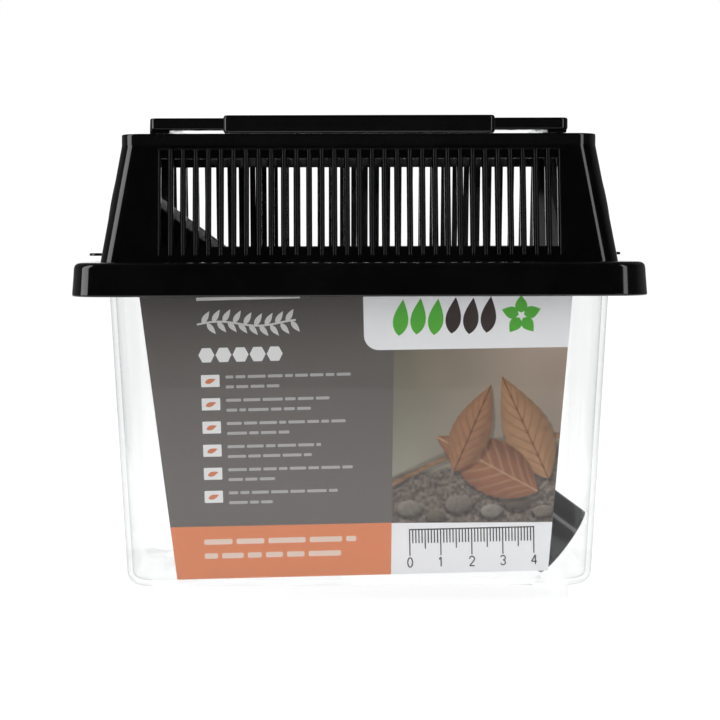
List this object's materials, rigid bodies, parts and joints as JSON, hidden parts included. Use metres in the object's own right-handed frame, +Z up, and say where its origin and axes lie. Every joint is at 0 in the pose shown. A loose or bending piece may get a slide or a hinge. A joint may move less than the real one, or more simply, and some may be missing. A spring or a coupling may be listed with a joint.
{
  "type": "cricket keeper box",
  "caption": "Clear tapered live-insect box on moulded feet, with a black slotted lid, clear hinged hatch, folding carry handle and a slanting pull-out tube.",
  "frame": {"origin": "middle of the footprint on the plane the feet stand on", "axes": "+X along the box to the right seen from the front, -Y to the front wall with the printed card, +Z up"},
  "size_m": [0.1826, 0.1152, 0.1564],
  "materials": {
    "clear_plastic": "clear polished moulding",
    "black_plastic": "glossy black moulding",
    "tube_plastic": "glossy black tube",
    "printed_card": "smooth printed card"
  },
  "bodies": {
    "tank": {"tank": "clear_plastic", "label_card": "printed_card"},
    "lid": {"lid": "black_plastic"},
    "hatch": {"hatch": "clear_plastic"},
    "handle": {"handle": "black_plastic"},
    "tube": {"tube": "tube_plastic"},
    "port_plug": {"port_plug": "black_plastic"}
  },
  "joints": [
    {"name": "lid_lift", "type": "slide", "parent": "tank", "child": "lid", "axis": [0, 0, 1], "range_m": [0, 0.13]},
    {"name": "tube_pull", "type": "slide", "parent": "lid", "child": "tube", "axis": [-0.8022, 0, 0.5971], "range_m": [0, 0.19]},
    {"name": "plug_pull", "type": "slide", "parent": "lid", "child": "port_plug", "axis": [0.8022, 0, 0.5971], "range_m": [0, 0.03]},
    {"name": "hatch_hinge", "type": "hinge", "parent": "lid", "child": "hatch", "pos_m": [0, 0.02791, 0.1519], "axis": [-1, 0, 0], "range_deg": [0, 110]},
    {"name": "handle_swing", "type": "hinge", "parent": "lid", "child": "handle", "pos_m": [0, 0, 0.15335], "axis": [-1, 0, 0], "range_deg": [0, 180]}
  ]
}
